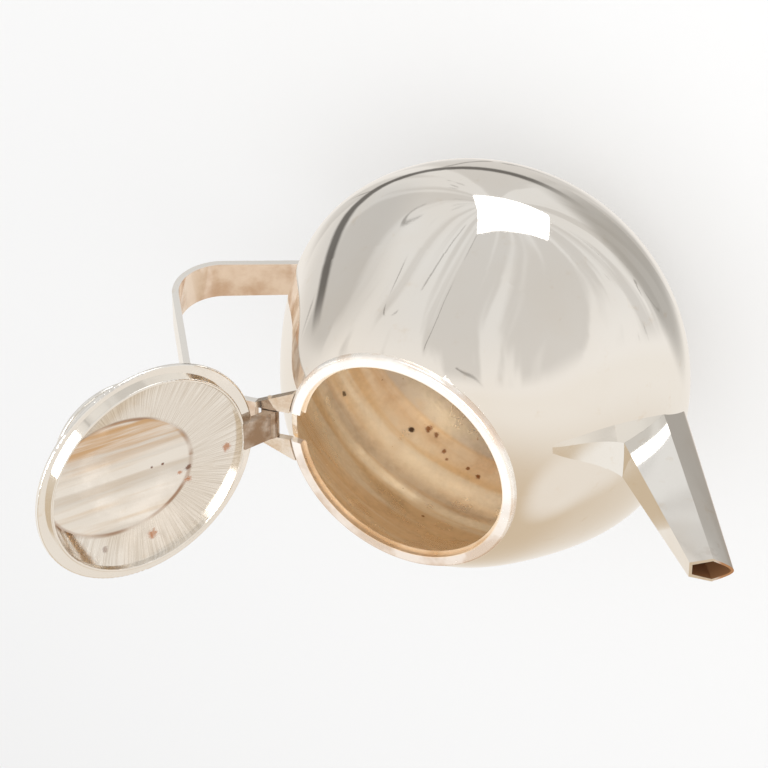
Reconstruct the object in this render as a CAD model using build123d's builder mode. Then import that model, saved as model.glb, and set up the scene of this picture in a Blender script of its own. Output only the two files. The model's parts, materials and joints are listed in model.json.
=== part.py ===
from build123d import *
from math import hypot
import os

# Silver coffee pot with a hinged lid, standing on its foot ring.
# Origin: centre of the flat underside, on the pot's axis. +Z up, +X to the spout, handle and hinge at -X.
# The lid is modelled wide open, resting against the end of its travel.

# ---- driving dimensions, mm ----
RIM_Z = 112.0            # top of the rim ring above the table
RING_OUTER_R = 42.0
RING_INNER_R = 37.9
RING_T = 2.6
RING_DISH = 0.15         # the ring's top falls this much towards the mouth
RING_FILLET = 1.1
SEAT_R = 37.0            # small inner step that stops the lid's collar
SEAT_T = 0.2

WALL = 1.2               # body sheet
BASE_Z = 1.6             # the body starts here, on top of the foot ring
BODY_PROFILE = [         # radius and height of the egg-shaped body, foot to rim
    (43.0, BASE_Z),
    (50.6, 6.6),
    (60.6, 17.0),
    (69.2, 32.0),
    (72.9, 50.0),
    (68.3, 68.0),
    (59.6, 86.0),
    (50.8, 100.0),
    (41.3, RIM_Z - RING_T),
]
FOOT_OUTER_R = 43.6
FOOT_INNER_R = 39.6
FOOT_FILLET = 0.6
PLATE_T = 1.2            # base plate, flush with the underside of the foot ring
SEAM_LOW_Z = 28.0        # the body sheet is three bands, met edge to edge
SEAM_HIGH_Z = 78.0
BAND_REACH_R = 90.0      # wider than the belly

HINGE_X = -48.6          # hinge pin, parallel to Y
HINGE_Z = RIM_Z + 0.3
PIN_R = 0.8
PIN_BORE_R = 0.86
PIN_HALF = 10.4
KNUCKLE_R = 3.0
TONGUE_HALF = 5.4
TONGUE_BOTTOM = -2.3     # from the rim plane, lid closed
TONGUE_END_X = -36.6
NOTCH_HALF = 6.0
NOTCH_DEPTH = 20.0
NOTCH_DROP = 7.2         # twice the depth of the notch below the rim plane
LID_OPEN = 117.6         # degrees from closed to the rest position

STRAP_T = 2.3            # handle strap
STRAP_SLOPE = 0.2        # the top strap climbs away from the rim
STRAP_END_X = -53.2      # where the strap stops and the two ears carry on
STRAP_OVERRUN = 4.0      # the strap's line runs on this far before it is cut off
HANDLE_BENDS = [16.5, 13.0]
STRAP_LOW_HALF = 6.4     # the strap widens a little towards the hinge
STRAP_TOP_HALF = 7.8
STRAP_LOW = -92.0        # the taper's ends, from the rim plane
STRAP_TOP = 2.0
STRAP_ABOVE = 12.0       # clears the handle's top bend
STRAP_BEHIND = 140.0     # clears the handle's back
STRAP_REACH = 12.0       # wider than the strap before it is cut to its taper
STRAP_END_CUT = (30.0, 40.0, 30.0)
EAR_GAP_HALF = 5.7
EAR_RIM_HALF = 14.2      # the ears spread where they meet the rim ring
EAR_BACK_HALF = 7.8
EAR_RIM_X = -38.5
EAR_SPREAD_X = -40.3
EAR_SLAB_X = (-60.0, -36.0)   # beyond both ends of an ear
EAR_REACH = 20.0         # wider than the pair of ears
EAR_BLOCK_HALF = 10.0    # taller than an ear
RING_CUT_H = 12.0
PIN_CUT = 60.0           # longer than the pin, to drill both ears

FLANGE_R = 41.5          # lid
FLANGE_BOTTOM = 0.3      # above the rim plane when closed
FLANGE_TOP = 1.8
FLANGE_FILLET = 0.55
COLLAR_OUTER_R = 37.4
COLLAR_INNER_R = 36.3
COLLAR_DEPTH = 1.9
COLLAR_FILLET = 0.35
PAN_FOOT_R = 37.3        # the pan sits in the flange, on top of the collar
CROWN_CENTRE_X = 8.9     # the pan's flat crown is a slanted oval, set towards the spout
CROWN_HALF_X = 26.2
CROWN_HALF_Y = 23.0
CROWN_SLANT = 0.119      # rise of the crown per millimetre towards the spout
CROWN_AXIS_Z = 2.37      # height of the crown's plane on the pot's axis
CROWN_T = 1.6
CROWN_LIP = 1.0          # the outside of the crown is this much larger all round
KNOB_BASE_R = 12.0
KNOB_TOP_R = 23.0
KNOB_WALL = 1.3
KNOB_CAP_T = 1.4
KNOB_CAP_LAP = 0.6       # the cap stands this much proud of the knob's wall
KNOB_CAP_FILLET = 0.5
KNOB_Z = 21.6

SPOUT_WALL = 1.0
SPOUT_START_X = 58.0     # the spout's lines are drawn from here, inside the body
# Half width and height of the three lines that run from root to lip:
# the two top edges, the two side ridges and the keel.
ROOT_TOP = (8.0, -42.7)
ROOT_SIDE = (11.1, -70.3)
ROOT_KEEL = -89.0
LIP_TOP = (106.1, 3.3)
LIP_KEEL = (119.0, -2.9)
LIP_TOP_HALF = 3.0
LIP_SIDE_HALF = 4.8
LIP_SIDE_AT = 0.52       # how far along the lip the side ridge ends
KEEL_LEAVES = (0.42, 0.9)     # way in which the rounded underside leaves a ridge: across, down


def at_rim(x, z):
    """A point of the XZ plane given from the rim plane."""
    return (x, RIM_Z + z)


# ---- the outer form of the body, used to trim what is soldered to it ----
with BuildPart() as body_form:
    with BuildSketch(Plane.XZ):
        with BuildLine():
            Line((0, BASE_Z), BODY_PROFILE[0])
            Spline(*BODY_PROFILE)
            Polyline(BODY_PROFILE[-1], (0, BODY_PROFILE[-1][1]), (0, BASE_Z))
        make_face()
    revolve(axis=Axis.Z)

# ---- spout: flat top, flat sides meeting a ridge, rounded underside ----
lip_length = hypot(LIP_KEEL[0] - LIP_TOP[0], LIP_KEEL[1] - LIP_TOP[1])

root_plane = Plane(origin=(SPOUT_START_X, 0, RIM_Z), x_dir=(0, 1, 0), z_dir=(1, 0, 0))
lip_run = Vector(LIP_KEEL[0] - LIP_TOP[0], 0, LIP_KEEL[1] - LIP_TOP[1]).normalized()
lip_plane = Plane(
    origin=(LIP_TOP[0], 0, RIM_Z + LIP_TOP[1]),
    x_dir=(0, 1, 0),
    z_dir=Vector(0, 1, 0).cross(lip_run * -1),
)


def spout_section(plane, top_half, top_y, side_half, side_y, keel_y, inset):
    """One closed cross-section, inset by the sheet's thickness for the bore."""
    top = (top_half - inset, top_y - inset)
    side = (side_half - inset, side_y)
    keel = (0, keel_y + inset)
    across, down = KEEL_LEAVES
    with BuildSketch(plane) as section:
        with BuildLine():
            Line((-top[0], top[1]), top)
            Line(top, side)
            Spline(side, keel, (-side[0], side[1]), tangents=[(-across, -down), (-across, down)])
            Line((-side[0], side[1]), (-top[0], top[1]))
        make_face()
    return section.sketch


def spout_solid(inset):
    root = spout_section(root_plane, *ROOT_TOP, *ROOT_SIDE, ROOT_KEEL, inset)
    lip = spout_section(
        lip_plane, LIP_TOP_HALF, 0, LIP_SIDE_HALF, -LIP_SIDE_AT * lip_length, -lip_length, inset
    )
    with BuildPart() as solid:
        loft(sections=[root.face(), lip.face()], ruled=True)
    return solid.part


spout_outside = spout_solid(0)
spout_bore = spout_solid(SPOUT_WALL)

with BuildPart() as spout:
    add(spout_outside)
    add(spout_bore, mode=Mode.SUBTRACT)
    add(body_form.part, mode=Mode.SUBTRACT)
spout.part.label = "spout"

# ---- body: thin sheet, open at the foot and the rim ----
with BuildPart() as body_sheet:
    add(body_form.part)
    ends = faces().filter_by(GeomType.PLANE).sort_by(Axis.Z)
    offset(amount=-WALL, openings=[ends[0], ends[-1]])

with BuildPart() as body_skin:
    add(body_sheet.part)
    add(spout_bore, mode=Mode.SUBTRACT)
    # the hinge tongue drops through a notch in the top edge
    with Locations((-RING_OUTER_R, 0, RIM_Z)):
        Box(NOTCH_DEPTH, 2 * NOTCH_HALF, NOTCH_DROP, mode=Mode.SUBTRACT)


def body_band(low, high):
    """The part of the sheet between two heights."""
    with BuildPart() as band:
        add(body_skin.part)
        with Locations((0, 0, low)):
            Cylinder(
                BAND_REACH_R,
                high - low,
                align=(Align.CENTER, Align.CENTER, Align.MIN),
                mode=Mode.INTERSECT,
            )
    return band.part


with BuildPart() as body_base:
    add(body_band(BASE_Z, SEAM_LOW_Z))
body_base.part.label = "body_base"

with BuildPart() as body_belly:
    add(body_band(SEAM_LOW_Z, SEAM_HIGH_Z))
body_belly.part.label = "body_belly"

with BuildPart() as body_shoulder:
    add(body_band(SEAM_HIGH_Z, RIM_Z))
body_shoulder.part.label = "body_shoulder"

# ---- base plate, soldered inside the foot ring ----
with BuildPart() as base_plate:
    Cylinder(FOOT_INNER_R, PLATE_T, align=(Align.CENTER, Align.CENTER, Align.MIN))
base_plate.part.label = "base_plate"

# ---- foot ring ----
with BuildPart() as foot_ring:
    Cylinder(FOOT_OUTER_R, BASE_Z, align=(Align.CENTER, Align.CENTER, Align.MIN))
    Cylinder(
        FOOT_INNER_R, BASE_Z, align=(Align.CENTER, Align.CENTER, Align.MIN), mode=Mode.SUBTRACT
    )
    fillet(edges().filter_by(GeomType.CIRCLE).sort_by(SortBy.RADIUS)[-2:], FOOT_FILLET)
foot_ring.part.label = "foot_ring"

# ---- rim ring: thick flat ring with a seat and the hinge notch ----
with BuildPart() as rim_ring:
    with BuildSketch(Plane.XZ):
        with BuildLine():
            Polyline(
                at_rim(RING_INNER_R, -RING_DISH),
                at_rim(RING_OUTER_R, 0),
                at_rim(RING_OUTER_R, -RING_T),
                at_rim(SEAT_R, -RING_T),
                at_rim(SEAT_R, -RING_T + SEAT_T),
                at_rim(RING_INNER_R, -RING_T + SEAT_T),
                close=True,
            )
        make_face()
    revolve(axis=Axis.Z)
    outer = edges().filter_by(GeomType.CIRCLE).group_by(SortBy.RADIUS)[-1]
    fillet(outer.sort_by(Axis.Z)[-1], RING_FILLET)
    with Locations((-RING_OUTER_R, 0, RIM_Z)):
        Box(NOTCH_DEPTH, 2 * NOTCH_HALF, 3 * RING_T, mode=Mode.SUBTRACT)
rim_ring.part.label = "rim_ring"

# ---- handle: one bent strap, from the belly up and back to the hinge ----
def top_strap_z(x):
    """Height above the rim plane of the middle of the sloping top strap, which meets the pin."""
    return HINGE_Z - RIM_Z - STRAP_SLOPE * (x - HINGE_X)


HANDLE_LINE = [          # middle of the sheet, from the rim plane
    (-60.0, -85.0),
    (-118.5, -52.4),
    (-75.9, 5.8),
    (STRAP_END_X + STRAP_OVERRUN, top_strap_z(STRAP_END_X + STRAP_OVERRUN)),
]

with BuildPart() as handle_strap:
    with BuildSketch(Plane.XZ):
        with BuildLine(mode=Mode.PRIVATE) as strap_line:
            FilletPolyline(*[at_rim(x, z) for x, z in HANDLE_LINE], radius=HANDLE_BENDS)
        trace(lines=strap_line.line.edges(), line_width=STRAP_T)
    extrude(amount=STRAP_REACH, both=True)
    with BuildSketch(Plane.YZ):
        with BuildLine():
            Polyline(
                at_rim(-STRAP_LOW_HALF, STRAP_LOW),
                at_rim(STRAP_LOW_HALF, STRAP_LOW),
                at_rim(STRAP_TOP_HALF, STRAP_TOP),
                at_rim(STRAP_TOP_HALF, STRAP_ABOVE),
                at_rim(-STRAP_TOP_HALF, STRAP_ABOVE),
                at_rim(-STRAP_TOP_HALF, STRAP_TOP),
                close=True,
            )
        make_face()
    extrude(amount=-STRAP_BEHIND, mode=Mode.INTERSECT)
    with Locations((STRAP_END_X, 0, RIM_Z)):
        Box(
            *STRAP_END_CUT, align=(Align.MIN, Align.CENTER, Align.CENTER), mode=Mode.SUBTRACT
        )
    add(body_form.part, mode=Mode.SUBTRACT)
handle_strap.part.label = "handle_strap"

# ---- two ears, from the end of the strap to the rim ring, drilled for the pin ----
slab_start, slab_end = EAR_SLAB_X
slab_half = STRAP_T / 2


def hinge_ear(side):
    with BuildPart() as ear:
        with BuildSketch(Plane.XY.offset(RIM_Z - EAR_BLOCK_HALF)):
            with BuildLine():
                Polyline(
                    (STRAP_END_X, side * EAR_GAP_HALF),
                    (EAR_RIM_X, side * EAR_GAP_HALF),
                    (EAR_RIM_X, side * EAR_RIM_HALF),
                    (EAR_SPREAD_X, side * EAR_RIM_HALF),
                    (STRAP_END_X, side * EAR_BACK_HALF),
                    close=True,
                )
            make_face()
        extrude(amount=2 * EAR_BLOCK_HALF)
        with BuildSketch(Plane.XZ):
            with BuildLine():
                Polyline(
                    at_rim(slab_start, top_strap_z(slab_start) - slab_half),
                    at_rim(slab_end, top_strap_z(slab_end) - slab_half),
                    at_rim(slab_end, top_strap_z(slab_end) + slab_half),
                    at_rim(slab_start, top_strap_z(slab_start) + slab_half),
                    close=True,
                )
            make_face()
        extrude(amount=EAR_REACH, both=True, mode=Mode.INTERSECT)
        with Locations((0, 0, RIM_Z)):
            Cylinder(RING_OUTER_R, RING_CUT_H, mode=Mode.SUBTRACT)
        with Locations(Location((HINGE_X, 0, HINGE_Z), (90, 0, 0))):
            Cylinder(PIN_R, PIN_CUT, mode=Mode.SUBTRACT)
    return ear.part


with BuildPart() as hinge_ear_near:
    add(hinge_ear(1))
hinge_ear_near.part.label = "hinge_ear_near"

with BuildPart() as hinge_ear_far:
    add(hinge_ear(-1))
hinge_ear_far.part.label = "hinge_ear_far"

# ---- hinge pin ----
with BuildPart() as hinge_pin:
    with Locations(Location((HINGE_X, 0, HINGE_Z), (90, 0, 0))):
        Cylinder(PIN_R, 2 * PIN_HALF)
hinge_pin.part.label = "hinge_pin"


# ---- lid: drawn closed, then swung about the pin ----
hinge_axis = Axis((HINGE_X, 0, HINGE_Z), (0, 1, 0))


def swing_open(closed_part):
    return closed_part.rotate(hinge_axis, -LID_OPEN)


def turned(points):
    """A ring or disc turned about the pot's axis from its half section."""
    with BuildPart() as ring:
        with BuildSketch(Plane.XZ):
            with BuildLine():
                Polyline(*[at_rim(x, z) for x, z in points], close=True)
            make_face()
        revolve(axis=Axis.Z)
    return ring.part


with BuildPart() as flange_closed:
    add(
        turned(
            [
                (PAN_FOOT_R, FLANGE_BOTTOM),
                (FLANGE_R, FLANGE_BOTTOM),
                (FLANGE_R, FLANGE_TOP),
                (PAN_FOOT_R, FLANGE_TOP),
            ]
        )
    )
    rim_edges = edges().filter_by(GeomType.CIRCLE).sort_by(SortBy.RADIUS)[-2:]
    fillet(rim_edges, FLANGE_FILLET)

with BuildPart() as tongue_closed:
    with BuildSketch(Plane.XZ):
        with Locations(at_rim(HINGE_X, HINGE_Z - RIM_Z)):
            Circle(KNUCKLE_R)
        with BuildLine():
            Polyline(
                at_rim(HINGE_X, TONGUE_BOTTOM),
                at_rim(TONGUE_END_X, TONGUE_BOTTOM),
                at_rim(TONGUE_END_X, FLANGE_BOTTOM),
                at_rim(HINGE_X, FLANGE_BOTTOM),
                close=True,
            )
        make_face()
        with Locations(at_rim(HINGE_X, HINGE_Z - RIM_Z)):
            Circle(PIN_BORE_R, mode=Mode.SUBTRACT)
    extrude(amount=TONGUE_HALF, both=True)

with BuildPart() as collar_closed:
    add(
        turned(
            [
                (COLLAR_INNER_R, -COLLAR_DEPTH),
                (COLLAR_OUTER_R, -COLLAR_DEPTH),
                (COLLAR_OUTER_R, FLANGE_BOTTOM),
                (COLLAR_INNER_R, FLANGE_BOTTOM),
            ]
        )
    )
    low_edges = edges().filter_by(GeomType.CIRCLE).group_by(Axis.Z)[0]
    fillet(low_edges, COLLAR_FILLET)
    add(tongue_closed.part, mode=Mode.SUBTRACT)


def crown_plane(lift):
    """The slanted plane of the crown, lifted by the sheet's thickness for its outside."""
    return Plane(
        origin=(CROWN_CENTRE_X, 0, RIM_Z + CROWN_AXIS_Z + CROWN_SLANT * CROWN_CENTRE_X + lift),
        x_dir=(1, 0, CROWN_SLANT),
        z_dir=(-CROWN_SLANT, 0, 1),
    )


def pan_form(foot_r, foot_z, lip, lift):
    """A straight-sided form from the round foot to the slanted oval crown."""
    with BuildSketch(Plane.XY.offset(RIM_Z + foot_z)) as foot:
        Circle(foot_r)
    with BuildSketch(crown_plane(lift)) as crown:
        Ellipse((CROWN_HALF_X + lip) * hypot(1, CROWN_SLANT), CROWN_HALF_Y + lip)
    with BuildPart() as form:
        loft(sections=[foot.sketch.face(), crown.sketch.face()], ruled=True)
    return form.part


pan_outside = pan_form(PAN_FOOT_R, FLANGE_TOP, CROWN_LIP, CROWN_T)

with BuildPart() as dome_closed:
    add(pan_outside)
    with Locations((0, 0, RIM_Z + FLANGE_BOTTOM)):
        Cylinder(
            PAN_FOOT_R,
            FLANGE_TOP - FLANGE_BOTTOM,
            align=(Align.CENTER, Align.CENTER, Align.MIN),
        )
    add(pan_form(COLLAR_INNER_R, FLANGE_BOTTOM, 0, 0), mode=Mode.SUBTRACT)

# the knob flares from the crown and is closed by a flat cap
knob_cap_z = KNOB_Z - KNOB_CAP_T
knob_wall_r = KNOB_TOP_R - KNOB_CAP_LAP

with BuildPart() as knob_closed:
    add(
        turned(
            [
                (KNOB_BASE_R - KNOB_WALL, FLANGE_TOP),
                (KNOB_BASE_R, FLANGE_TOP),
                (knob_wall_r, knob_cap_z),
                (knob_wall_r - KNOB_WALL, knob_cap_z),
            ]
        )
    )
    add(pan_outside, mode=Mode.SUBTRACT)

with BuildPart() as knob_cap_closed:
    add(
        turned(
            [
                (0, knob_cap_z),
                (KNOB_TOP_R, knob_cap_z),
                (KNOB_TOP_R, KNOB_Z),
                (0, KNOB_Z),
            ]
        )
    )
    fillet(edges().filter_by(GeomType.CIRCLE).sort_by(SortBy.RADIUS)[-2:], KNOB_CAP_FILLET)

with BuildPart() as lid_flange:
    add(swing_open(flange_closed.part))
lid_flange.part.label = "lid_flange"

with BuildPart() as lid_tongue:
    add(swing_open(tongue_closed.part))
lid_tongue.part.label = "lid_tongue"

with BuildPart() as lid_collar:
    add(swing_open(collar_closed.part))
lid_collar.part.label = "lid_collar"

with BuildPart() as lid_dome:
    add(swing_open(dome_closed.part))
lid_dome.part.label = "lid_dome"

with BuildPart() as lid_knob:
    add(swing_open(knob_closed.part))
lid_knob.part.label = "lid_knob"

with BuildPart() as lid_knob_cap:
    add(swing_open(knob_cap_closed.part))
lid_knob_cap.part.label = "lid_knob_cap"

# ---- export, one file per piece ----
os.makedirs("parts", exist_ok=True)
export_step(body_base.part, "parts/body_base.step")
export_step(body_belly.part, "parts/body_belly.step")
export_step(body_shoulder.part, "parts/body_shoulder.step")
export_step(base_plate.part, "parts/base_plate.step")
export_step(foot_ring.part, "parts/foot_ring.step")
export_step(rim_ring.part, "parts/rim_ring.step")
export_step(spout.part, "parts/spout.step")
export_step(handle_strap.part, "parts/handle_strap.step")
export_step(hinge_ear_near.part, "parts/hinge_ear_near.step")
export_step(hinge_ear_far.part, "parts/hinge_ear_far.step")
export_step(hinge_pin.part, "parts/hinge_pin.step")
export_step(lid_flange.part, "parts/lid_flange.step")
export_step(lid_tongue.part, "parts/lid_tongue.step")
export_step(lid_collar.part, "parts/lid_collar.step")
export_step(lid_dome.part, "parts/lid_dome.step")
export_step(lid_knob.part, "parts/lid_knob.step")
export_step(lid_knob_cap.part, "parts/lid_knob_cap.step")
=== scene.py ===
import json
import math

import bpy
from mathutils import Matrix, Vector


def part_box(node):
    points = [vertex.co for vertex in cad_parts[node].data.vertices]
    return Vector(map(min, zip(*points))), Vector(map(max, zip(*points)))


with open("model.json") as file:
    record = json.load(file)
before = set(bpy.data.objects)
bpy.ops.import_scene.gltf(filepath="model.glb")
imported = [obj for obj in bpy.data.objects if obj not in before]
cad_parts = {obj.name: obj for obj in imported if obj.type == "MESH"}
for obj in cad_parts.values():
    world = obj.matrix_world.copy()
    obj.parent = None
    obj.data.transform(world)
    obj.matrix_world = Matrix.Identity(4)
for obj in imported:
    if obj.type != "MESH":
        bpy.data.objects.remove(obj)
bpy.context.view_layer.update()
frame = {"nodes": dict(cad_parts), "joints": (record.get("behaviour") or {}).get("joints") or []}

# Silver coffee pot: materials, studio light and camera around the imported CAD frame.

nodes = frame["nodes"]
scene = bpy.context.scene
scene.view_settings.view_transform = "Standard"

RIM_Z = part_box("rim_ring")[1].z
HINGE = Vector(frame["joints"][0]["pos_m"])
LID_OPEN = math.radians(frame["joints"][0]["range_deg"][1])
# the lid's own directions as it rests open: across it from the hinge, and into its hollow
LID_X = Vector((math.cos(LID_OPEN), 0, math.sin(LID_OPEN)))
LID_IN = Vector((math.sin(LID_OPEN), 0, -math.cos(LID_OPEN)))
LID_CENTRE = HINGE + LID_X * -HINGE.x


# ---- node helpers ----
class Shader:
    """A few short words for building a node tree."""

    def __init__(self, tree):
        self.tree = tree
        self.coord = tree.nodes.new("ShaderNodeTexCoord")

    def link(self, source, target):
        if hasattr(source, "is_output"):
            self.tree.links.new(source, target)
        else:
            target.default_value = source

    def math(self, op, a, b=0.0):
        node = self.tree.nodes.new("ShaderNodeMath")
        node.operation = op
        self.link(a, node.inputs[0])
        self.link(b, node.inputs[1])
        return node.outputs[0]

    def plus(self, a, b):
        return self.math("ADD", a, b)

    def minus(self, a, b):
        return self.math("SUBTRACT", a, b)

    def times(self, a, b):
        return self.math("MULTIPLY", a, b)

    def vector(self, op, a, b=(0, 0, 0)):
        node = self.tree.nodes.new("ShaderNodeVectorMath")
        node.operation = op
        self.link(a, node.inputs[0])
        self.link(b, node.inputs[1])
        return node.outputs["Value"] if op in ("DOT_PRODUCT", "LENGTH") else node.outputs[0]

    def dot(self, a, b):
        return self.vector("DOT_PRODUCT", a, b)

    def combine(self, x, y, z):
        node = self.tree.nodes.new("ShaderNodeCombineXYZ")
        for socket, value in zip(node.inputs, (x, y, z)):
            self.link(value, socket)
        return node.outputs[0]

    def radius(self, x, y):
        return self.vector("LENGTH", self.combine(x, y, 0.0))

    def separate(self, v):
        node = self.tree.nodes.new("ShaderNodeSeparateXYZ")
        self.link(v, node.inputs[0])
        return node.outputs

    def noise(self, v, scale, detail=3.0, rough=0.55, distortion=0.0):
        node = self.tree.nodes.new("ShaderNodeTexNoise")
        self.link(v, node.inputs["Vector"])
        node.inputs["Scale"].default_value = scale
        node.inputs["Detail"].default_value = detail
        node.inputs["Roughness"].default_value = rough
        node.inputs["Distortion"].default_value = distortion
        return node.outputs[0]

    def stretch(self, v, scale):
        return self.vector("MULTIPLY", v, scale)

    def remap(self, value, low, high, to_low=0.0, to_high=1.0):
        """Ease from to_low to to_high as the value goes from low to high."""
        node = self.tree.nodes.new("ShaderNodeMapRange")
        node.interpolation_type = "SMOOTHSTEP"
        self.link(value, node.inputs[0])
        for i, v in enumerate((low, high, to_low, to_high)):
            self.link(v, node.inputs[i + 1])
        return node.outputs[0]

    def mix(self, factor, a, b):
        node = self.tree.nodes.new("ShaderNodeMix")
        node.data_type = "RGBA"
        self.link(factor, node.inputs["Factor"])
        self.link(a, node.inputs[6])
        self.link(b, node.inputs[7])
        return node.outputs[2]


def rgb(r, g, b):
    """A colour given as it looks on a screen, 0 to 255."""
    return tuple(((c / 255) ** 2.2) for c in (r, g, b)) + (1.0,)


SILVER = rgb(247, 245, 241)
WARM_SILVER = rgb(244, 236, 225)
TARNISH = rgb(226, 202, 168)
TAN = rgb(216, 184, 142)
BROWN = rgb(150, 102, 58)
RUST = rgb(156, 92, 38)
DARK = rgb(66, 40, 22)
FILM_DEEP = rgb(240, 208, 164)      # the dried coffee inside the body
FILM_PALE = rgb(252, 236, 210)
FILM_THIN = rgb(226, 220, 208)
WALL_DROP = rgb(140, 84, 40)
RIM_TAN = rgb(222, 178, 134)
# painted reflection of the warm, shaded floor on the rim's -Y side
RIM_REFLECTED_SHADE = rgb(206, 184, 163)
SPOUT_TARNISH = rgb(190, 160, 126)
STRAP_PALE = rgb(238, 219, 200)
STRAP_BROWN = rgb(200, 166, 134)
HINGE_BROWN = rgb(200, 172, 140)
TONGUE_BROWN = rgb(142, 112, 84)
CROWN_GREY = rgb(206, 201, 194)
CROWN_LINE = rgb(146, 96, 50)
CROWN_POOL = rgb(214, 178, 138)
LID_DROP = rgb(96, 56, 26)
# painted reflection streaks for the lid's brushed slope
BRUSH_STREAK_REFLECTION = rgb(198, 186, 170)


MM = 0.001


def spots(sh, at, places, distance):
    """Stains as one mask. places: (two coordinates that distance takes, radius in mm, strength)."""
    wobble = sh.noise(at, 620.0, 4.0, 0.65)
    total = 0.0
    for first, second, radius, strength in places:
        far = distance(first, second)
        far = sh.plus(far, sh.times(wobble, 2.2 * radius * MM))
        near = sh.remap(far, 2.2 * radius * MM, 1.5 * radius * MM, 0.0, strength)
        total = sh.math("MAXIMUM", total, near)
    return total


def flat_distance(sh, u, v):
    """Distance in the plane of u and v to a place given in millimetres."""

    def distance(first, second):
        du = sh.minus(u, first * MM)
        dv = sh.minus(v, second * MM)
        return sh.radius(du, dv)

    return distance


def wall_distance(sh, at):
    """Distance over the wall to a place given by its angle in degrees and its height in millimetres."""
    x, y, z = sh.separate(at)
    turn = sh.math("ARCTAN2", y, x)
    r = sh.radius(x, y)

    def distance(angle, height):
        along = sh.times(sh.minus(turn, math.radians(angle)), r)
        return sh.radius(along, sh.minus(z, height * MM))

    return distance


BUMP_STRENGTH = 0.12
BUMP_DEPTH = 0.00006


def silver(name, tint, tarnish, rough, grain=(1, 1, 1), extra=None):
    """Polished silver with hairline scratches, a soft haze and a thin warm tarnish."""
    mat = bpy.data.materials.new(name)
    mat.use_nodes = True
    tree = mat.node_tree
    shader = tree.nodes["Principled BSDF"]
    shader.inputs["Metallic"].default_value = 1.0
    sh = Shader(tree)
    at = sh.coord.outputs["Object"]
    cloud = sh.noise(at, 22.0, 4.0)
    fine = sh.noise(at, 160.0, 4.0, 0.6)
    haze = sh.remap(cloud, 0.42, 0.72)
    colour = sh.mix(sh.times(haze, tarnish), tint, TARNISH)
    colour = sh.mix(sh.times(sh.remap(fine, 0.6, 0.8), 0.25), colour, TARNISH)
    hair = sh.noise(sh.stretch(at, grain), 900.0, 2.0, 0.5)
    dents = sh.noise(at, 45.0, 2.0)
    roughness = sh.remap(cloud, 0.3, 0.8, rough * 0.7, rough * 1.5)
    roughness = sh.plus(roughness, sh.times(sh.remap(hair, 0.62, 0.75), 0.09))
    height = sh.plus(sh.times(hair, 0.25), dents)
    if extra:
        colour, roughness, height, film = extra(sh, at, colour, roughness, height)
        sh.link(sh.minus(1.0, film), shader.inputs["Metallic"])
    bump = tree.nodes.new("ShaderNodeBump")
    bump.inputs["Strength"].default_value = BUMP_STRENGTH
    bump.inputs["Distance"].default_value = BUMP_DEPTH
    sh.link(height, bump.inputs["Height"])
    sh.link(colour, shader.inputs["Base Color"])
    sh.link(roughness, shader.inputs["Roughness"])
    tree.links.new(bump.outputs[0], shader.inputs["Normal"])
    return mat


def dress(material, *names):
    """Give CAD nodes a material."""
    for name in names:
        slots = nodes[name].data.materials
        slots.clear()
        slots.append(material)


# ---- body: polished outside, coffee-stained inside ----
TIDE_TOP = 0.0268        # the coffee film is thin and pale below this height
TIDE_FOOT = 0.0248
# drops on the wall: angle about the pot's axis, height, radius, strength
BODY_DARK = [(-123, 32, 1.3, 0.95), (-145, 43, 1.2, 0.8)]
BODY_RUST = [
    (-119, 28, 1.5, 0.9),
    (-116, 28, 1.1, 0.8),
    (-111, 31, 1.0, 0.9),
    (-109, 33, 0.7, 0.9),
    (-102, 32, 0.8, 0.9),
    (-98, 33, 1.1, 0.95),
    (-104, 62, 0.9, 0.9),
]


def body_inside(sh, at, colour, roughness, height):
    x, y, z = sh.separate(at)
    outward = sh.vector("NORMALIZE", sh.combine(x, y, 0.0))
    facing = sh.dot(outward, sh.coord.outputs["Normal"])
    inside = sh.remap(facing, 0.12, -0.12)
    # the outside warms a little toward the rim
    warm = sh.remap(z, RIM_Z * 0.55, RIM_Z, 0.0, 0.35)
    colour = sh.mix(warm, colour, WARM_SILVER)
    # the film is paler and deeper in level rings around the pot
    rings = sh.noise(sh.stretch(at, (5, 5, 75)), 1.6, 3.0, 0.5, 0.3)
    blotch = sh.noise(at, 60.0, 4.0, 0.65)
    film = sh.mix(sh.remap(rings, 0.42, 0.6), FILM_DEEP, FILM_PALE)
    low = sh.remap(z, TIDE_TOP, TIDE_FOOT)
    film = sh.mix(low, film, FILM_THIN)
    film = sh.mix(sh.times(sh.remap(blotch, 0.56, 0.74), 0.35), film, TAN)
    to_place = wall_distance(sh, at)
    film = sh.mix(spots(sh, at, BODY_RUST, to_place), film, WALL_DROP)
    film = sh.mix(spots(sh, at, BODY_DARK, to_place), film, DARK)
    specks = sh.remap(sh.noise(at, 420.0, 2.0, 0.5), 0.74, 0.80)
    film = sh.mix(sh.times(specks, 0.7), film, BROWN)
    colour = sh.mix(inside, colour, film)
    inner_rough = sh.remap(blotch, 0.3, 0.75, 0.14, 0.28)
    mixed = sh.times(inside, inner_rough)
    kept = sh.times(sh.minus(1.0, inside), roughness)
    dull = sh.times(inside, sh.remap(blotch, 0.3, 0.7, 0.25, 0.45))
    return colour, sh.plus(kept, mixed), height, dull


body = silver("body_silver", SILVER, 0.12, 0.018, (1, 1, 9), body_inside)
dress(body, "body_base", "body_belly", "body_shoulder", "base_plate", "foot_ring")


# ---- rim ring: satin, tanned along its outer edge and its lip, with a painted reflection of shade on its -Y side ----
RING_EDGE = (0.0404, 0.0418)    # radii over which the outer edge tans
RING_LIP = (0.0384, 0.0378)     # and the inner lip
RING_SHADE_Y = (0.008, -0.026)  # painted reflected shade on the ring sets in from here to here


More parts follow.
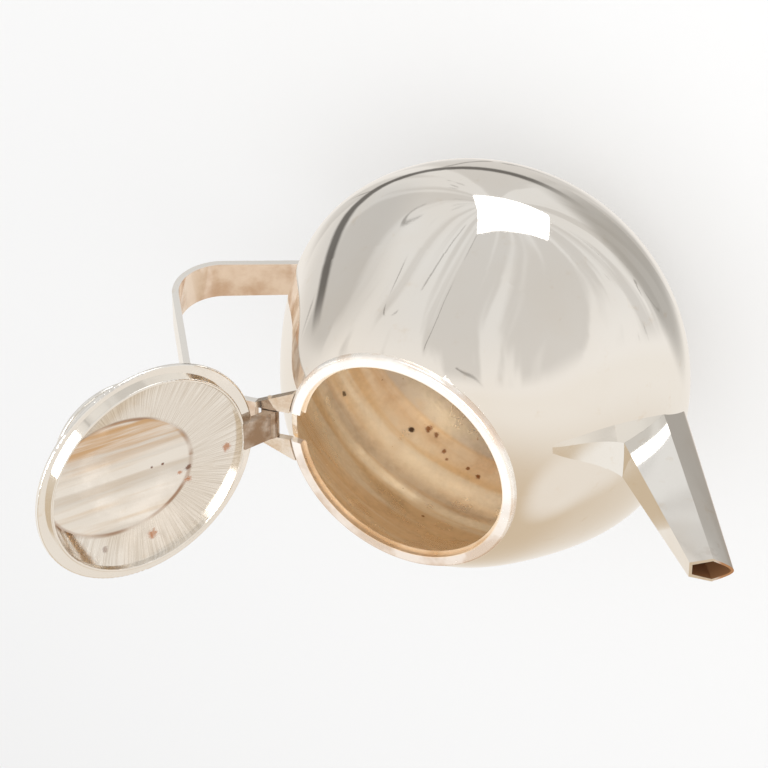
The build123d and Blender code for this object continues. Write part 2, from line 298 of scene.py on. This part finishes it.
def rim_finish(sh, at, colour, roughness, height):
    x, y, _ = sh.separate(at)
    r = sh.radius(x, y)
    patchy = sh.remap(sh.noise(at, 55.0, 4.0), 0.42, 0.66)
    edge = sh.times(sh.remap(r, *RING_EDGE), patchy)
    colour = sh.mix(sh.times(edge, 0.45), colour, RIM_TAN)
    # painted reflection: the -Y side of the rim is browned to stand in for the warm, shaded floor it
    # mirrors
    painted_reflected_shade = sh.times(sh.remap(y, *RING_SHADE_Y), sh.remap(patchy, 0.0, 0.8, 0.55, 0.9))
    colour = sh.mix(painted_reflected_shade, colour, RIM_REFLECTED_SHADE)
    lip = sh.times(sh.remap(r, *RING_LIP), 0.6)
    satin = sh.remap(patchy, 0.0, 1.0, 0.36, 0.26)
    return sh.mix(lip, colour, FILM_DEEP), roughness, height, satin


rim = silver("rim_silver", SILVER, 0.08, 0.2, (1, 1, 1), rim_finish)
dress(rim, "rim_ring")


# ---- spout: bright planes outside, brown inside the lip ----
SPOUT_ROOT_X = 0.05
SPOUT_BROWN_X = 0.10            # the bore is at its brownest from here on
SPOUT_LIP = (0.104, 0.112)
SPOUT_LINE = -0.0005            # the spout's middle line stands at z = x + this
SPOUT_BORE = -0.0008            # a wall that faces that line from this far off is all bore


def spout_inside(sh, at, colour, roughness, height):
    x, y, z = sh.separate(at)
    # the bore's walls face the spout's middle plane; the outside faces away from it
    nx, ny, nz = sh.separate(sh.coord.outputs["Normal"])
    side = sh.times(y, ny)
    up = sh.times(nz, sh.minus(z, sh.plus(x, SPOUT_LINE)))
    inward = sh.remap(sh.plus(side, sh.times(up, 0.2)), 0.0, SPOUT_BORE)
    lip = sh.remap(x, *SPOUT_LIP)
    dark = sh.times(inward, sh.remap(x, SPOUT_ROOT_X, SPOUT_BROWN_X, 0.6, 0.95))
    colour = sh.mix(dark, colour, BROWN)
    # its rounded underside carries a thin brown tarnish
    under = sh.plus(sh.times(nx, 0.5), sh.times(nz, -0.87))
    worn = sh.remap(sh.noise(sh.stretch(at, (18, 60, 18)), 1.0, 3.0), 0.35, 0.65, 0.35, 1.0)
    browned = sh.times(sh.times(sh.remap(under, 0.30, 0.85), worn), 0.85)
    colour = sh.mix(browned, colour, SPOUT_TARNISH)
    grime = sh.remap(sh.noise(at, 240.0, 4.0), 0.5, 0.66)
    colour = sh.mix(sh.times(sh.times(lip, grime), 0.12), colour, BROWN)
    return colour, roughness, height, sh.times(dark, 0.75)


spout = silver("spout_silver", SILVER, 0.2, 0.06, (7, 1, 7), spout_inside)
dress(spout, "spout")


# ---- handle: bright edges and outside, tarnished inner face ----
def handle_inside(sh, at, colour, roughness, height):
    nx, _, nz = sh.separate(sh.coord.outputs["Normal"])
    # the strap's inner face looks toward the body; its edges look along Y
    toward = sh.plus(nx, sh.times(nz, 0.35))
    face = sh.remap(toward, 0.05, 0.45)
    mottle = sh.noise(at, 75.0, 4.0, 0.6)
    film = sh.mix(sh.remap(mottle, 0.40, 0.72), STRAP_PALE, STRAP_BROWN)
    dull = sh.times(face, 0.3)
    return sh.mix(sh.times(face, 0.85), colour, film), roughness, height, dull


handle = silver("handle_silver", SILVER, 0.2, 0.08, (5, 1, 5), handle_inside)
dress(handle, "handle_strap")


# ---- hinge: a thin mottled brown tarnish, browner on the tongue than on the ears ----
def hinge_finish(sh, at, colour, roughness, height):
    mottle = sh.noise(at, 130.0, 4.0, 0.6)
    brown = sh.remap(mottle, 0.34, 0.7, 0.3, 0.85)
    return sh.mix(brown, colour, HINGE_BROWN), roughness, height, sh.times(brown, 0.2)


hinge = silver("hinge_silver", WARM_SILVER, 0.4, 0.13, (1, 8, 1), hinge_finish)
dress(hinge, "hinge_ear_near", "hinge_ear_far", "hinge_pin")


def tongue_finish(sh, at, colour, roughness, height):
    mottle = sh.noise(at, 170.0, 4.0, 0.6)
    brown = sh.remap(mottle, 0.3, 0.62, 0.55, 0.95)
    return sh.mix(brown, colour, TONGUE_BROWN), roughness, height, sh.times(brown, 0.25)


tongue = silver("tongue_silver", WARM_SILVER, 0.4, 0.12, (1, 8, 1), tongue_finish)
dress(tongue, "lid_tongue")

# ---- lid: fine radial brushing on the pan's slope with painted reflection streaks, streaks on its crown, stains ----
CROWN_CENTRE = 0.0089    # the flat crown is an oval set toward the spout side of the lid
CROWN_HALF_X = 0.0262
CROWN_HALF_Y = 0.0230
SLOPE_R = (0.0366, 0.0361)      # the brushing and its painted reflection streaks stop where the slope meets the collar
POOL_Y = (0.004, 0.017)         # a wide coffee stain sets in from here to here
# drops in the lid: place from its centre, away from the hinge and along the pin, radius, strength
LID_RUST = [(-31, -3, 2.0, 0.9), (-16, -10, 1.8, 0.9), (-2, -28, 2.1, 0.9), (-13, -6, 1.1, 0.8)]
LID_DARK = [(-16, -5, 1.5, 0.9), (-7, 0, 0.8, 0.95), (-3, 0, 0.6, 0.9), (16, -27, 1.3, 0.7)]


def lid_finish(sh, at, colour, roughness, height):
    offset = sh.vector("SUBTRACT", at, tuple(LID_CENTRE))
    across = sh.dot(offset, tuple(LID_X))
    y = sh.separate(at)[1]
    r = sh.radius(across, y)
    angle = sh.math("ARCTAN2", y, across)
    normal = sh.coord.outputs["Normal"]
    inside = sh.remap(sh.dot(normal, tuple(LID_IN)), 0.0, 0.3)
    oval = sh.radius(
        sh.math("DIVIDE", sh.minus(across, CROWN_CENTRE), CROWN_HALF_X),
        sh.math("DIVIDE", y, CROWN_HALF_Y),
    )
    crown = sh.times(inside, sh.remap(oval, 1.012, 0.992))
    # the crown's streaks run along the lid's own X
    along = sh.combine(sh.times(across, 12.0), sh.times(y, 190.0), 0.0)
    streak = sh.noise(along, 1.0, 4.0, 0.6)
    radial = sh.combine(sh.times(angle, 90.0), sh.times(r, 40.0), 0.0)
    brush_grain_and_sheen = sh.noise(radial, 1.0, 3.0)
    band = sh.noise(sh.combine(0.0, sh.times(y, 150.0), 0.0), 1.0, 1.0)
    film = sh.mix(sh.remap(streak, 0.45, 0.7), SILVER, TAN)
    colour = sh.mix(sh.times(crown, 0.4), colour, film)
    greyed = sh.times(crown, sh.remap(band, 0.46, 0.6, 0.0, 0.4))
    colour = sh.mix(greyed, colour, CROWN_GREY)
    patch = sh.remap(sh.noise(at, 42.0, 4.0, 0.6), 0.5, 0.72)
    colour = sh.mix(sh.times(sh.times(inside, patch), 0.12), colour, TAN)
    # grime in the angle between the pan's slope and its crown
    line = sh.remap(sh.math("ABSOLUTE", sh.minus(oval, 1.0)), 0.05, 0.008)
    worn = sh.remap(sh.noise(sh.combine(angle, 0.0, 0.0), 1.1, 1.0), 0.38, 0.62, 0.15, 1.0)
    line = sh.times(sh.times(line, worn), inside)
    colour = sh.mix(sh.times(line, 0.8), colour, CROWN_LINE)
    # a wide coffee stain on the +Y part of the crown
    pool = sh.times(crown, sh.remap(y, *POOL_Y))
    colour = sh.mix(sh.times(pool, sh.remap(streak, 0.36, 0.6)), colour, CROWN_POOL)
    to_place = flat_distance(sh, across, y)
    rust = sh.times(spots(sh, at, LID_RUST, to_place), inside)
    dark = sh.times(spots(sh, at, LID_DARK, to_place), inside)
    colour = sh.mix(rust, colour, RUST)
    colour = sh.mix(dark, colour, LID_DROP)
    slope = sh.times(sh.minus(inside, crown), sh.remap(r, *SLOPE_R))
    # painted reflection: the brushing's radial streaks are painted into the slope's colour as darker
    # bars; the roughness and bump below are the real brushing
    painted_brush_streaks = sh.times(slope, sh.remap(brush_grain_and_sheen, 0.4, 0.62, 0.0, 0.45))
    colour = sh.mix(painted_brush_streaks, colour, BRUSH_STREAK_REFLECTION)
    roughness = sh.plus(roughness, sh.times(slope, 0.11))
    height = sh.plus(height, sh.times(sh.times(slope, brush_grain_and_sheen), 1.2))
    height = sh.plus(height, sh.times(sh.times(crown, streak), 1.2))
    dull = sh.times(sh.times(inside, patch), 0.25)
    dull = sh.math("MAXIMUM", dull, sh.times(sh.math("MAXIMUM", rust, dark), 0.8))
    return colour, roughness, height, dull


lid = silver("lid_silver", SILVER, 0.12, 0.09, (1, 1, 1), lid_finish)
dress(lid, "lid_flange", "lid_collar", "lid_dome")

# ---- knob: plain polish ----
knob = silver("knob_silver", SILVER, 0.15, 0.05, (1, 8, 1))
dress(knob, "lid_knob", "lid_knob_cap")

# ---- camera: above the pot on its +X and +Y side, rolled because the pot lies in the picture ----
CAM_RIGHT = Vector((0.883, 0.0, -0.469))
CAM_UP = Vector((-0.292, 0.783, -0.549))
CAM_BACK = Vector((0.367, 0.622, 0.692))
cam_data = bpy.data.cameras.new("camera")
cam_data.sensor_width = 36.0
cam_data.lens = 167.9
cam = bpy.data.objects.new("camera", cam_data)
scene.collection.objects.link(cam)
CAM_POS = Vector((0.422, 0.756, 0.918))
axes = Matrix((CAM_RIGHT, CAM_UP, CAM_BACK)).transposed()
cam.matrix_world = Matrix.Translation(CAM_POS) @ axes.to_4x4()
scene.camera = cam

# ---- floor: plain and pale, not mirrored in the silver, as a lit tent would hide it ----
FLOOR_HALF = 6.0
FLOOR_GREY = 0.66
floor_mesh = bpy.data.meshes.new("floor")
corners = [(-1, -1), (1, -1), (1, 1), (-1, 1)]
floor_mesh.from_pydata([(x * FLOOR_HALF, y * FLOOR_HALF, 0) for x, y in corners], [], [(0, 1, 2, 3)])
floor = bpy.data.objects.new("floor", floor_mesh)
scene.collection.objects.link(floor)
floor_mat = bpy.data.materials.new("floor")
floor_mat.use_nodes = True
floor_shader = floor_mat.node_tree.nodes["Principled BSDF"]
floor_shader.inputs["Base Color"].default_value = (FLOOR_GREY, FLOOR_GREY, FLOOR_GREY, 1)
floor_shader.inputs["Roughness"].default_value = 0.5
floor_mesh.materials.append(floor_mat)
floor.visible_glossy = False
floor.visible_shadow = False

# ---- light: the silver mirrors a pale tent with folds, gaps and cards around it ----
STUDIO_UP = Vector((-0.224, 0.879, -0.421)).normalized()
TENT_LOW = rgb(244, 239, 233)
TENT_TOP = rgb(230, 228, 225)
TABLE_DEEP = rgb(212, 194, 170)
TABLE_PALE = rgb(242, 236, 228)
FOLD = rgb(200, 196, 191)
CREASE = rgb(104, 98, 92)
SLIT = rgb(60, 55, 50)
SLIT_LEVEL = Vector((-0.06, 0.99, 0.10)).normalized()
SLIT_MIDDLE = Vector((-0.70, 0.04, -0.71)).normalized()
EVEN_WHITE = rgb(251, 251, 251)

# soft-edged patches of the tent: direction, cosines at its edge and full depth, strength, colour
CARDS = [
    ((0.77, -0.63, 0.06), 0.90, 0.985, 1.0, rgb(237, 229, 219)),     # low, past the spout
    ((-0.36, -0.62, 0.70), 0.80, 0.92, 1.0, rgb(252, 250, 248)),     # behind the lid, for the rim
    ((-0.97, 0.12, -0.20), 0.80, 0.96, 0.25, rgb(150, 146, 141)),    # a grey sheet by the handle
]
GREY_UNDER = ((0.20, -0.05, -0.98), 0.86, 0.97, 0.75, rgb(160, 156, 150))    # greyer past the base


def add_card(ws, way, sky, card):
    direction, edge, full, strength, colour = card
    toward = ws.dot(way, tuple(Vector(direction).normalized()))
    return ws.mix(ws.remap(toward, edge, full, 0.0, strength), sky, colour)


def tent_folds(ws, way, rise, sky):
    """Soft folds in the cloth, and a few sharp creases."""
    side_a = STUDIO_UP.cross(Vector((0, 0, 1))).normalized()
    side_b = STUDIO_UP.cross(side_a)
    turn = ws.math("ARCTAN2", ws.dot(way, tuple(side_a)), ws.dot(way, tuple(side_b)))
    sine = ws.math("SINE", turn)
    cosine = ws.math("COSINE", turn)
    in_tent = ws.remap(rise, 0.02, 0.2)
    folds = ws.noise(ws.combine(sine, cosine, ws.times(rise, 0.25)), 2.6, 3.0, 0.5)
    sky = ws.mix(ws.times(ws.remap(folds, 0.46, 0.56, 0.0, 0.6), in_tent), sky, FOLD)
    wavy = ws.noise(ws.combine(sine, cosine, ws.times(rise, 0.5)), 1.5, 1.0, 0.4)
    crease = ws.remap(ws.math("ABSOLUTE", ws.minus(wavy, 0.5)), 0.007, 0.002)
    broken = ws.remap(ws.noise(way, 4.0, 1.0), 0.5, 0.6)
    crease = ws.times(ws.times(crease, broken), in_tent)
    return ws.mix(ws.times(crease, 0.55), sky, CREASE)


def tent_slit(ws, way, sky):
    """A narrow dark slit where two sheets of the tent meet."""
    off_level = ws.math("ABSOLUTE", ws.dot(way, tuple(SLIT_LEVEL)))
    along = ws.remap(ws.dot(way, tuple(SLIT_MIDDLE)), 0.70, 0.88)
    slit = ws.times(ws.remap(off_level, 0.085, 0.03), along)
    return ws.mix(ws.times(slit, 0.8), sky, SLIT)


def studio_world():
    world = bpy.data.worlds.new("studio")
    scene.world = world
    world.use_nodes = True
    tree = world.node_tree
    ws = Shader(tree)
    way = ws.vector("NORMALIZE", ws.coord.outputs["Generated"])
    rise = ws.dot(way, tuple(STUDIO_UP))
    tent = ws.mix(ws.remap(rise, -0.1, 0.8), TENT_LOW, TENT_TOP)
    table = ws.mix(ws.remap(rise, -1.0, -0.2), TABLE_DEEP, TABLE_PALE)
    sky = ws.mix(ws.remap(rise, -0.12, 0.05), table, tent)
    sky = tent_folds(ws, way, rise, sky)
    for card in CARDS:
        sky = add_card(ws, way, sky, card)
    sky = tent_slit(ws, way, sky)
    sky = add_card(ws, way, sky, GREY_UNDER)
    # only mirror rays see the tent; all other light comes from an even white world
    path = tree.nodes.new("ShaderNodeLightPath")
    seen = ws.mix(path.outputs["Is Glossy Ray"], EVEN_WHITE, sky)
    background = tree.nodes["Background"]
    tree.links.new(seen, background.inputs["Color"])
    background.inputs["Strength"].default_value = 1.0


studio_world()


def softbox(name, direction, distance, width, height, power):
    """A rectangular lamp that looks at the middle of the pot."""
    data = bpy.data.lights.new(name, "AREA")
    data.shape = "RECTANGLE"
    data.size = width
    data.size_y = height
    data.energy = power
    lamp = bpy.data.objects.new(name, data)
    scene.collection.objects.link(lamp)
    middle = Vector((0, 0, RIM_Z / 2))
    lamp.location = middle + Vector(direction).normalized() * distance
    lamp.rotation_euler = (middle - lamp.location).to_track_quat("-Z", "Y").to_euler()
    return lamp


# the key is mirrored in the belly; it stands midway between these two directions and is turned along them
KEY_LOW = Vector((-0.17, 0.77, -0.61)).normalized()
KEY_HIGH = Vector((0.05, 1.0, -0.14)).normalized()
key_middle = (KEY_LOW + KEY_HIGH).normalized()
key = softbox("key", key_middle, 1.4, 0.80, 0.70, 3.6)
key_y = (KEY_HIGH - KEY_LOW).normalized()
key_x = key_y.cross(key_middle).normalized()
key.rotation_euler = Matrix((key_x, key_y, key_middle)).transposed().to_euler()
# the key does not light the spout, whose front would mirror it as plain white
lit_by_key = bpy.data.collections.new("lit_by_key")
for name, node in nodes.items():
    if name != "spout":
        lit_by_key.objects.link(node)
key.light_linking.receiver_collection = lit_by_key
# a wide soft fill that no mirror shows
fill = softbox("fill", (0.5, 0.3, 0.9), 2.0, 1.6, 1.2, 4.0)
fill.visible_glossy = False
# a lamp over the open mouth lights the inside of the pot, and casts no shadow
mouth_lamp = softbox("mouth_lamp", (0.16, 0.22, 1.0), 1.3, 0.7, 0.7, 9.5)
mouth_lamp.data.use_shadow = False
